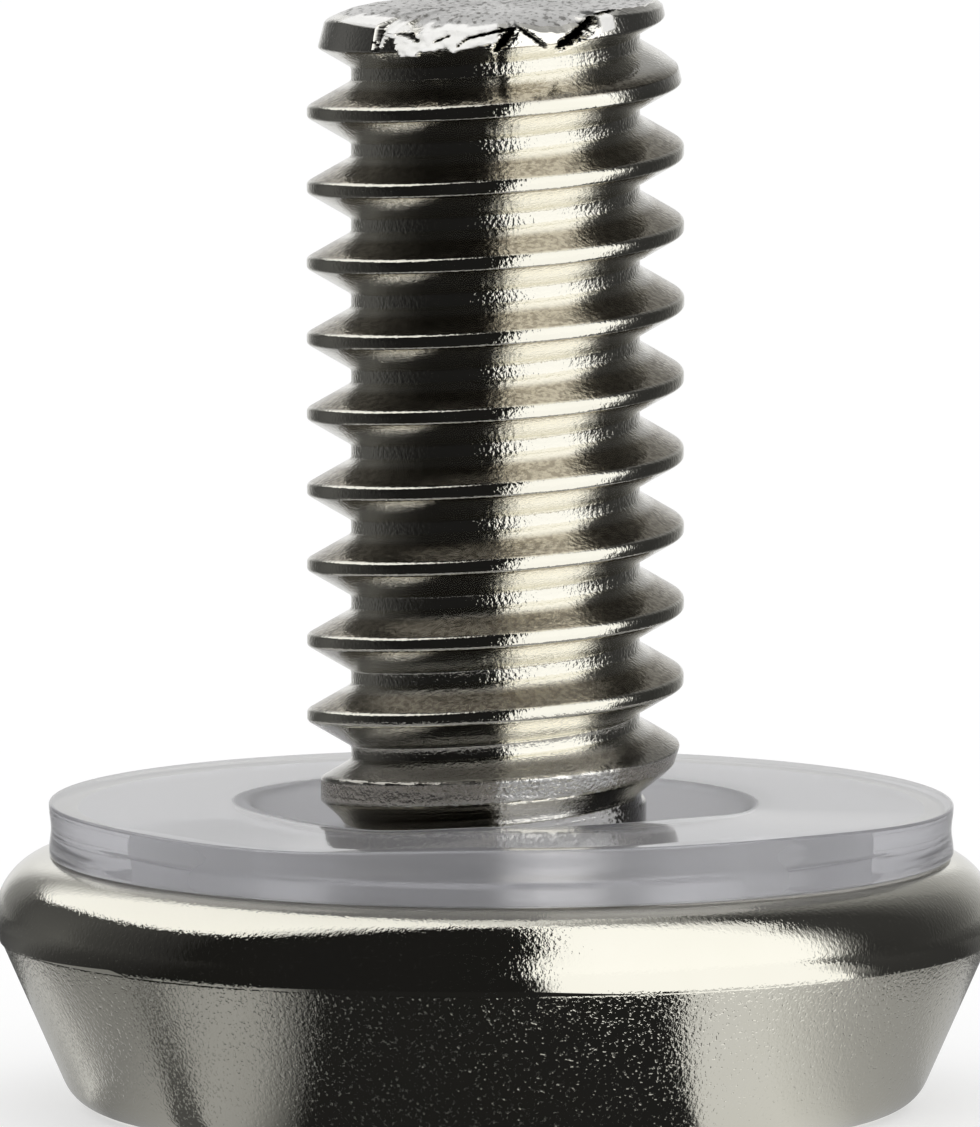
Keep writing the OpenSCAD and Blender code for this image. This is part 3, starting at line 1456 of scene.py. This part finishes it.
@dataclass
class Washer:
    """The loose ring on the head's seat."""

    outer_r: float
    centre_x: float
    low_z: float
    high_z: float
    hole_r: float = 3.45
    edge_round: float = 0.05
    hole_round: float = 0.16
    waist: float = 0.03
    droop: float = 0.025
    border_w: float = 0.3
    columns: int = 240
    sag: tuple[Pair, ...] = (
        (-180.0, 0.1), (-64.0, 0.06), (-32.0, 0.11), (0.0, 0.01), (36.0, 0.0), (80.0, 0.1), (180.0, 0.1),
    )

    def outline(self) -> np.ndarray:
        """Draws the ring's section, with a shallow waist around its outer side.

        Returns:
            Rows of radius and height, from the hole's foot around the outside and back.
        """
        r = self.edge_round
        inner, outer = self.hole_r + self.hole_round, self.outer_r - r
        low, high = self.low_z + r, self.high_z - r
        hole_low, hole_high = self.low_z + self.hole_round, self.high_z - self.hole_round
        side = np.linspace(low, high, 9)[1:-1]
        waist = self.outer_r - self.waist * np.sin((side - low) / (high - low) * math.pi) ** 2
        flat = np.linspace(outer, inner, 7)[1:-1]
        return np.vstack([
            arc(outer, low, r, -90.0, 0.0, 8),
            np.column_stack([waist, side]),
            arc(outer, high, r, 0.0, 90.0, 8),
            np.column_stack([flat, np.full(len(flat), self.high_z)]),
            arc(inner, hole_high, self.hole_round, 90.0, 180.0, 8),
            arc(inner, hole_low, self.hole_round, 180.0, 270.0, 8),
            np.column_stack([flat[::-1], np.full(len(flat), self.low_z)]),
            [[outer, self.low_z]],
        ])

    def build(self) -> bpy.types.Object:
        """Makes the washer's mesh.

        Returns:
            The object.
        """
        angles = np.linspace(-180.0, 180.0, self.columns + 1)
        outline = self.outline()
        grid = around(outline[:, :1], angles[None, :], outline[:, 1:])
        share = (outline[:, 1:] - self.low_z) / (self.high_z - self.low_z)
        border = ease(outline[:, :1], self.outer_r - self.border_w, self.outer_r)
        grid[..., 2] -= share * glide(angles, self.sag) + (1.0 - share) * border * self.droop
        grid[..., 0] += self.centre_x
        skin = Skin()
        skin.add_grid(grid)
        return skin.to_object("clear_washer")

    def dress(self, piece: bpy.types.Object, finish: ClearPlastic, grain: bpy.types.NodeTree) -> None:
        """Gives the washer its plastic and ties it to its solid.

        Args:
            piece: The washer's object.
            finish: Finish of the plastic.
            grain: Shared node group of the grain.
        """
        piece.data.materials.append(finish.material(grain, self.hole_r))
        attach(piece, BODY)
        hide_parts(Node.WASHER.value)


@dataclass(frozen=True)
class Card:
    """A studio card that only reflections see.

    Each edge is an angle around the axis with the card's lower and upper border there, which are
    elevations in degrees on the dome and distances from the axis on the floor. Each glow is an angle with
    the brightness at both borders.
    """

    name: str
    lie: Lie
    edges: tuple[Stop, ...]
    glows: tuple[Stop, ...]
    layer: int = 1

    def borders(self, angles: np.ndarray) -> tuple[np.ndarray, np.ndarray]:
        """Finds the card's lower and upper border at some angles."""
        places, lows, highs = np.array(self.edges).T
        return np.interp(angles, places, lows), np.interp(angles, places, highs)

    def grid(self, dome_r: float) -> np.ndarray:
        """Spreads the card's points.

        Args:
            dome_r: Radius of the dome.

        Returns:
            Grid of points in millimetres.
        """
        first, last = self.edges[0][0], self.edges[-1][0]
        angles = np.linspace(first, last, int(last - first) * 2 + 2)
        low, high = self.borders(angles)
        reach = low + (high - low) * np.linspace(0.0, 1.0, 13)[:, None]
        if self.lie is Lie.FLOOR:
            return around(reach, angles, np.full_like(reach, FLOOR_CARD_Z * self.layer))
        tilt = np.radians(reach)
        return around(dome_r * np.cos(tilt), angles, dome_r * np.sin(tilt))

    def light(self, points: np.ndarray) -> np.ndarray:
        """Finds the card's brightness at its points.

        Args:
            points: Points in millimetres.

        Returns:
            One brightness for each point.
        """
        out = np.hypot(points[:, 0], points[:, 1])
        angles = np.degrees(np.arctan2(points[:, 0], -points[:, 1]))
        angles = np.where(angles < self.edges[0][0] - 0.1, angles + 360.0, angles)
        reach = out if self.lie is Lie.FLOOR else np.degrees(np.arctan2(points[:, 2], out))
        low, high = self.borders(angles)
        share = np.clip((reach - low) / np.maximum(high - low, 0.001), 0.0, 1.0)
        places, low_glow, high_glow = np.array(self.glows).T
        at_low = np.interp(angles, places, low_glow)
        return at_low + (np.interp(angles, places, high_glow) - at_low) * share

    def build(self, dome_r: float, glowing: bpy.types.Material) -> bpy.types.Object:
        """Makes the card and hides it from all but reflections.

        Args:
            dome_r: Radius of the dome.
            glowing: Material that shines as bright as the card's points say.

        Returns:
            The card's object.
        """
        skin = Skin()
        skin.add_grid(self.grid(dome_r))
        card = skin.to_object(self.name)
        points = np.array([v.co for v in card.data.vertices]) / MM
        glow = card.data.attributes.new(GLOW, "FLOAT", "POINT")
        glow.data.foreach_set("value", self.light(points))
        card.data.materials.append(glowing)
        card.visible_camera = False
        card.visible_diffuse = False
        card.visible_shadow = False
        card.visible_transmission = False
        return card


DOME_TOP = 88.0
LEFT_BORDER = (
    (-163.0, 22.0), (-142.0, 20.0), (-132.0, 26.0), (-118.0, 30.0), (-100.0, 34.0), (-85.0, 38.0),
    (-76.0, 41.0),
)
FLAG_BORDER = ((-76.0, 41.0), (-70.0, 48.0), (-62.0, 58.0))
LIGHT_BORDER = ((8.0, 20.0), (12.0, 35.0), (15.0, 55.0), (20.0, 68.0), (28.0, 78.0), (60.0, 86.0))
RIGHT_BORDER = ((86.0, 45.0), (95.0, 48.0), (103.0, 56.0), (112.0, 62.0), (142.0, 66.0))
MAT_BORDER = (
    (-180.0, 12.0), (-112.0, 11.0), (-95.0, 9.8), (78.0, 9.4), (92.0, 9.4), (105.0, 10.2), (115.0, 11.0),
    (180.0, 12.0),
)


def below(border: Sequence[Pair], foot: float = 0.0) -> tuple[Stop, ...]:
    """Gives the edges of a card that hangs between a border and a foot under it."""
    return tuple((angle, foot, reach) for angle, reach in border)


def above(border: Sequence[Pair], top: float = DOME_TOP) -> tuple[Stop, ...]:
    """Gives the edges of a card that goes from a border up to a top."""
    return tuple((angle, reach, top) for angle, reach in border)


STUDIO_CARDS = (
    Card(
        "front_flag", Lie.DOME, below((*FLAG_BORDER, (-58.0, DOME_TOP), (8.0, DOME_TOP))),
        ((0.0, 0.012, 0.012),),
    ),
    Card(
        "front_top_flag", Lie.DOME, above(LIGHT_BORDER),
        ((8.0, 0.012, 0.012), (60.0, 0.05, 0.05)),
    ),
    Card(
        "left_low_flag", Lie.DOME, below(LEFT_BORDER),
        ((-163.0, 0.3, 0.3), (-152.0, 0.16, 0.2), (-144.0, 0.06, 0.07), (-136.0, 0.09, 0.08),
         (-118.0, 0.11, 0.07), (-108.0, 0.06, 0.06), (-98.0, 0.045, 0.05), (-76.0, 0.02, 0.02)),
    ),
    Card(
        "left_softbox", Lie.DOME, above((*LEFT_BORDER, *FLAG_BORDER[1:], (-58.0, 87.0))),
        ((-163.0, 0.4, 0.5), (-152.0, 0.85, 0.7), (-147.0, 1.15, 1.0), (-80.0, 1.15, 1.1),
         (-58.0, 0.5, 0.2)),
    ),
    Card(
        "right_softbox", Lie.DOME, below((*LIGHT_BORDER, (86.0, 86.0))),
        ((8.0, 0.1, 0.1), (9.5, 1.25, 1.0), (20.0, 1.25, 1.2), (80.0, 1.25, 1.2), (86.0, 0.35, 1.1)),
    ),
    Card(
        "right_flag", Lie.DOME, below(RIGHT_BORDER),
        ((86.0, 0.35, 0.6), (90.0, 0.06, 0.3), (96.0, 0.03, 0.05), (120.0, 0.04, 0.04), (132.0, 0.07, 0.1),
         (142.0, 0.15, 0.2)),
    ),
    Card(
        "right_high_panel", Lie.DOME, above((*RIGHT_BORDER, (197.0, 66.0))),
        ((86.0, 1.1, 1.1), (98.0, 0.8, 0.9), (105.0, 0.4, 0.6), (115.0, 0.2, 0.5), (135.0, 0.25, 0.6),
         (150.0, 0.5, 0.9), (197.0, 0.6, 0.9)),
    ),
    Card(
        "backdrop_foot", Lie.DOME,
        ((142.0, 0.0, 11.0), (197.0, 0.0, 11.0)),
        ((142.0, 0.15, 0.15), (150.0, 0.3, 0.3), (158.0, 0.4, 0.45), (165.0, 0.65, 0.6), (170.0, 0.8, 0.8),
         (190.0, 0.8, 0.8), (194.0, 0.7, 0.7), (197.0, 0.35, 0.4)),
    ),
    Card(
        "backdrop_low", Lie.DOME,
        ((142.0, 11.0, 22.0), (197.0, 11.0, 22.0)),
        ((142.0, 0.15, 0.12), (150.0, 0.3, 0.25), (158.0, 0.45, 0.4), (166.0, 0.6, 0.4), (170.0, 1.0, 0.5),
         (190.0, 1.0, 0.6), (197.0, 0.4, 0.4)),
    ),
    Card(
        "backdrop_high", Lie.DOME,
        ((142.0, 22.0, 66.0), (197.0, 22.0, 66.0)),
        ((142.0, 0.12, 0.2), (150.0, 0.25, 0.3), (163.0, 0.35, 0.3), (190.0, 0.5, 0.5), (197.0, 0.4, 0.6)),
    ),
    Card(
        "far_mat", Lie.FLOOR,
        ((-180.0, 20.0, 398.0), (180.0, 20.0, 398.0)),
        ((-180.0, 0.8, 1.0), (-166.0, 0.7, 0.8), (-158.0, 0.3, 0.3), (-150.0, 0.16, 0.16),
         (-144.0, 0.06, 0.06), (-136.0, 0.09, 0.09), (-118.0, 0.1, 0.1), (-98.0, 0.045, 0.045),
         (-60.0, 0.012, 0.012), (7.0, 0.012, 0.012), (10.0, 1.2, 1.2), (72.0, 1.2, 1.2),
         (75.0, 0.05, 1.2), (80.0, 0.05, 1.2),
         (86.0, 0.04, 0.3), (92.0, 0.035, 0.05), (110.0, 0.035, 0.035), (132.0, 0.07, 0.07),
         (142.0, 0.15, 0.15), (152.0, 0.3, 0.3), (160.0, 0.45, 0.45), (168.0, 0.8, 0.8), (180.0, 0.8, 1.0)),
    ),
    Card(
        "mid_mat", Lie.FLOOR, above(MAT_BORDER, 20.0),
        ((-180.0, 0.6, 0.8), (-158.0, 0.3, 0.3), (-144.0, 0.06, 0.06), (-118.0, 0.1, 0.1),
         (-98.0, 0.045, 0.045), (-60.0, 0.012, 0.012), (7.0, 0.012, 0.012), (10.0, 1.2, 1.2),
         (64.0, 1.2, 1.2), (67.0, 0.05, 1.2),
         (71.0, 0.035, 0.9), (74.0, 0.035, 0.05), (110.0, 0.035, 0.035), (142.0, 0.15, 0.15),
         (160.0, 0.45, 0.45), (180.0, 0.6, 0.8)),
    ),
    Card(
        "near_mat", Lie.FLOOR, below(MAT_BORDER, 4.8),
        ((-180.0, 0.45, 0.45), (-107.0, 0.5, 0.45), (-95.0, 0.5, 0.24), (-78.0, 0.38, 0.2),
         (-70.0, 0.22, 0.21), (-58.0, 0.3, 0.3), (-45.0, 0.37, 0.37), (-38.0, 0.33, 0.33),
         (-28.0, 0.015, 0.015), (29.0, 0.015, 0.015), (30.5, 0.68, 0.68), (45.0, 0.74, 0.68),
         (54.0, 0.6, 0.52), (62.0, 0.42, 0.4), (75.0, 0.36, 0.34),
         (92.0, 0.33, 0.33), (100.0, 0.5, 0.4), (120.0, 0.5, 0.45), (180.0, 0.45, 0.45)),
    ),
    Card(
        "near_stripe", Lie.FLOOR,
        ((-64.0, 8.6, 9.8), (-58.0, 7.15, 8.3), (-50.0, 5.9, 6.85), (-44.0, 5.0, 6.0)),
        ((-64.0, 0.08, 0.08),), layer=2,
    ),
    Card(
        "near_streak", Lie.FLOOR,
        ((-107.0, 9.5, 10.4), (-95.0, 7.6, 8.5), (-85.0, 6.6, 7.4), (-76.0, 6.0, 6.6)),
        ((-107.0, 0.62, 0.62),), layer=2,
    ),
)


def card_glow() -> bpy.types.Material:
    """Builds the material of all cards, which shine as bright as their points say.

    Returns:
        The material.
    """
    made, graph = blank_material("card_glow")
    made.cycles.emission_sampling = "NONE"
    glow = graph.add("ShaderNodeAttribute", attribute_name=GLOW)
    light = graph.add("ShaderNodeEmission", {"Color": (1.0, 1.0, 1.0, 1.0), "Strength": glow.outputs["Fac"]})
    graph.add("ShaderNodeOutputMaterial", {"Surface": light.outputs[0]})
    return made


@dataclass
class Studio:
    """Pale floor, white surround and the cards that metal reflects."""

    floor_size: float = 4000.0
    floor_z: float = -0.01
    floor_colour: Colour = (0.5, 0.5, 0.5, 1.0)
    floor_lift: float = 0.51
    dome_r: float = 400.0
    surround: float = 1.0
    cards: tuple[Card, ...] = STUDIO_CARDS

    def build_floor(self) -> bpy.types.Object:
        """Lays the floor, which keeps the shadow and is otherwise white.

        Returns:
            The floor's object.
        """
        half = self.floor_size / 2.0
        side = np.linspace(-half, half, 3)
        grid = np.stack(np.meshgrid(side, side), axis=-1)
        skin = Skin()
        skin.add_grid(np.concatenate([grid, np.full((3, 3, 1), self.floor_z)], axis=-1))
        floor = skin.to_object("floor")
        made, graph = blank_material("pale_floor")
        path = graph.add("ShaderNodeLightPath")
        seen = graph.math("MAXIMUM", path.outputs["Is Camera Ray"], path.outputs["Is Glossy Ray"])
        seen = graph.math("MAXIMUM", seen, path.outputs["Is Transmission Ray"])
        matte = graph.add("ShaderNodeBsdfDiffuse", {"Color": self.floor_colour})
        glow = graph.add("ShaderNodeEmission", {"Strength": graph.math("MULTIPLY", seen, self.floor_lift)})
        both = graph.add("ShaderNodeAddShader", {0: matte.outputs[0], 1: glow.outputs[0]})
        graph.add("ShaderNodeOutputMaterial", {"Surface": both.outputs[0]})
        floor.data.materials.append(made)
        return floor

    def build_surround(self) -> None:
        """Lights the scene evenly from all sides with a white world."""
        world = bpy.data.worlds.new("white_surround")
        world.use_nodes = True
        world.node_tree.nodes.clear()
        graph = Graph(world.node_tree)
        back = graph.add("ShaderNodeBackground", {"Color": (1.0, 1.0, 1.0, 1.0), "Strength": self.surround})
        graph.add("ShaderNodeOutputWorld", {"Surface": back.outputs[0]})
        world.cycles.sampling_method = "NONE"
        bpy.context.scene.world = world

    def build(self) -> None:
        """Sets up floor, surround and cards."""
        self.build_floor()
        self.build_surround()
        glowing = card_glow()
        for card in self.cards:
            card.build(self.dome_r, glowing)


@dataclass
class PhotoCamera:
    """The long lens that looks slightly down on the screw."""

    elevation: float = 6.5
    distance: float = 500.0
    px_per_mm: float = 71.6
    axis_px: float = 495.5
    base_px: float = 1105.0
    sensor: float = 36.0

    def build(self) -> bpy.types.Object:
        """Places the camera so that the photograph's middle is in the middle of the frame.

        Returns:
            The camera's object.
        """
        tilt = math.radians(self.elevation)
        middle_x = (PHOTO_WIDTH_PX / 2.0 - self.axis_px) / self.px_per_mm
        middle_z = (self.base_px - PHOTO_HEIGHT_PX / 2.0) / (self.px_per_mm * math.cos(tilt))
        target = Vector((middle_x, 0.0, middle_z))
        back = Vector((0.0, -math.cos(tilt), math.sin(tilt)))
        data = bpy.data.cameras.new("photo_camera")
        data.sensor_width = self.sensor
        data.lens = self.px_per_mm * self.distance / PHOTO_HEIGHT_PX * self.sensor
        data.clip_start = 0.01
        data.clip_end = 10.0
        camera = bpy.data.objects.new("photo_camera", data)
        camera.location = (target + back * self.distance) * MM
        camera.rotation_mode = "QUATERNION"
        camera.rotation_quaternion = (-back).to_track_quat("-Z", "Y")
        bpy.context.scene.collection.objects.link(camera)
        bpy.context.scene.camera = camera
        return camera


def in_mm(corner: Vector) -> Vector:
    """Turns a corner of the frame from metres into millimetres."""
    return corner / MM


def main() -> None:
    """Builds the camera, the studio and both pieces around the frame."""
    logging.basicConfig(level=logging.INFO, format="%(name)s: %(message)s")
    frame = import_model()
    bpy.context.scene.view_settings.view_transform = "Standard"
    low, high = (in_mm(c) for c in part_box(Node.SCREW.value))
    ring_low, ring_high = (in_mm(c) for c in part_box(Node.WASHER.value))
    mounts = {mount["name"]: mount for mount in frame["record"]["mounts"]}
    crest_r = mounts["thread"]["dims"]["r_mm"]
    PhotoCamera().build()
    Studio().build()
    grain = surface_grain()
    screw = Screw(
        head=Head(radius=(high.x - low.x) / 2.0, seat_z=ring_low.z),
        recess=Recess(),
        thread=Thread(crest_r=crest_r, seat_z=ring_low.z),
        tip=Tip(height=high.z),
    )
    plated = screw.build()
    screw.dress(plated, NickelPlate(), grain)
    log.info("%s: %d faces", plated.name, len(plated.data.polygons))
    washer = Washer(
        outer_r=(ring_high.x - ring_low.x) / 2.0,
        centre_x=(ring_high.x + ring_low.x) / 2.0,
        low_z=ring_low.z + SEAT_GAP,
        high_z=ring_high.z,
    )
    ring = washer.build()
    washer.dress(ring, ClearPlastic(), grain)
    log.info("%s: %d faces", ring.name, len(ring.data.polygons))


if __name__ == "__main__":
    main()
